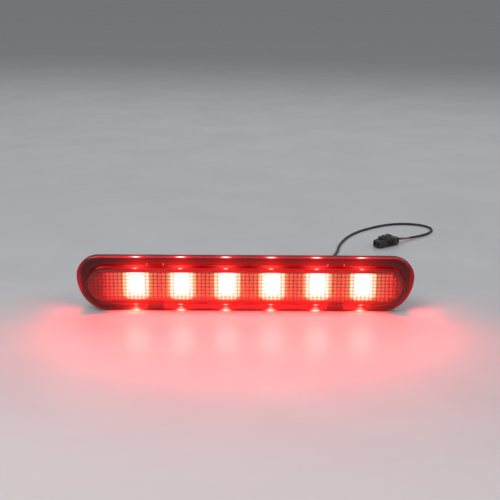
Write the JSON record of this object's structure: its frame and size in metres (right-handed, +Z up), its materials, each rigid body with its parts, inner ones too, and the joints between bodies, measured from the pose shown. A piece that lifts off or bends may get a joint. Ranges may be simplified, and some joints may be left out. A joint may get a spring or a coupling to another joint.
{
  "type": "third brake light",
  "caption": "Long red third brake light: raised optic lens over a row of lit LEDs, sealed housing with studs and flange nuts, and a cable ending in a latched connector.",
  "frame": {"origin": "under the middle of the lamp, on the surface that the lens's lower edge stands on; the cable and connector lie on that surface and aren't counted", "axes": "+X along the lamp, to the right as seen from the front; -Y is the way that the light shines; +Z up"},
  "size_m": [0.3617, 0.3134, 0.05],
  "materials": {
    "red_lens": "clear red acrylic, polished, with a grid of small pillow optics on the panel",
    "seal_rubber": "translucent silicone bead that takes up the red light",
    "gasket_foam": "closed-cell foam, matt",
    "housing_plastic": "fine-grained black moulded plastic",
    "metallised": "vacuum-metallised plastic",
    "board": "green solder mask on glass-fibre board",
    "led_lit": "lit light-emitting diode under a clear dome",
    "zinc_steel": "zinc-plated steel",
    "chip_part": "moulded black package",
    "breather": "white breathable membrane",
    "grommet_rubber": "soft black rubber",
    "cable_sheath": "black vinyl sheath",
    "core_red": "red vinyl insulation",
    "core_black": "black vinyl insulation",
    "connector_plastic": "dark brown-black nylon",
    "terminal_brass": "tinned brass"
  },
  "bodies": {
    "lamp": {"lens": "red_lens", "lens_seal": "seal_rubber", "mounting_gasket": "gasket_foam", "housing": "housing_plastic", "vent_patch": "breather", "reflector_tray": "metallised", "circuit_board": "board", "led_1": "led_lit", "led_2": "led_lit", "led_3": "led_lit", "led_4": "led_lit", "led_5": "led_lit", "led_6": "led_lit", "board_screw_1": "zinc_steel", "board_screw_2": "zinc_steel", "board_screw_3": "zinc_steel", "board_screw_4": "zinc_steel", "resistor_1": "chip_part", "resistor_2": "chip_part", "diode": "chip_part", "inner_lead_positive": "core_red", "inner_lead_negative": "core_black", "stud_left": "zinc_steel", "stud_right": "zinc_steel", "cable_grommet": "grommet_rubber", "cable": "cable_sheath", "wire_red": "core_red", "wire_black": "core_black", "connector_housing": "connector_plastic", "wire_seal": "grommet_rubber", "terminal_1": "terminal_brass", "terminal_2": "terminal_brass"},
    "washer_left": {"washer_left": "zinc_steel"},
    "nut_left": {"nut_left": "zinc_steel"},
    "washer_right": {"washer_right": "zinc_steel"},
    "nut_right": {"nut_right": "zinc_steel"},
    "latch": {"connector_latch": "connector_plastic"}
  },
  "joints": [
    {"name": "washer_left_travel", "type": "slide", "parent": "lamp", "child": "washer_left", "axis": [0, 1, 0], "range_m": [0, 0.012]},
    {"name": "nut_left_turn", "type": "hinge", "parent": "washer_left", "child": "nut_left", "pos_m": [-0.08, 0, 0.025], "axis": [0, 1, 0], "range_deg": [0, 5402]},
    {"name": "washer_right_travel", "type": "slide", "parent": "lamp", "child": "washer_right", "axis": [0, 1, 0], "range_m": [0, 0.012]},
    {"name": "nut_right_turn", "type": "hinge", "parent": "washer_right", "child": "nut_right", "pos_m": [0.08, 0, 0.025], "axis": [0, 1, 0], "range_deg": [0, 5402]},
    {"name": "latch_press", "type": "hinge", "parent": "lamp", "child": "latch", "pos_m": [0.14491, 0.19306, 0.0105], "axis": [-0.6428, 0.766, 0], "range_deg": [0, 6], "stiffness_Nm_per_rad": 0.5}
  ],
  "couplings": [
    {"joint": "nut_left_turn", "follows": "washer_left_travel", "rad_per_m": 7854},
    {"joint": "nut_right_turn", "follows": "washer_right_travel", "rad_per_m": 7854}
  ]
}
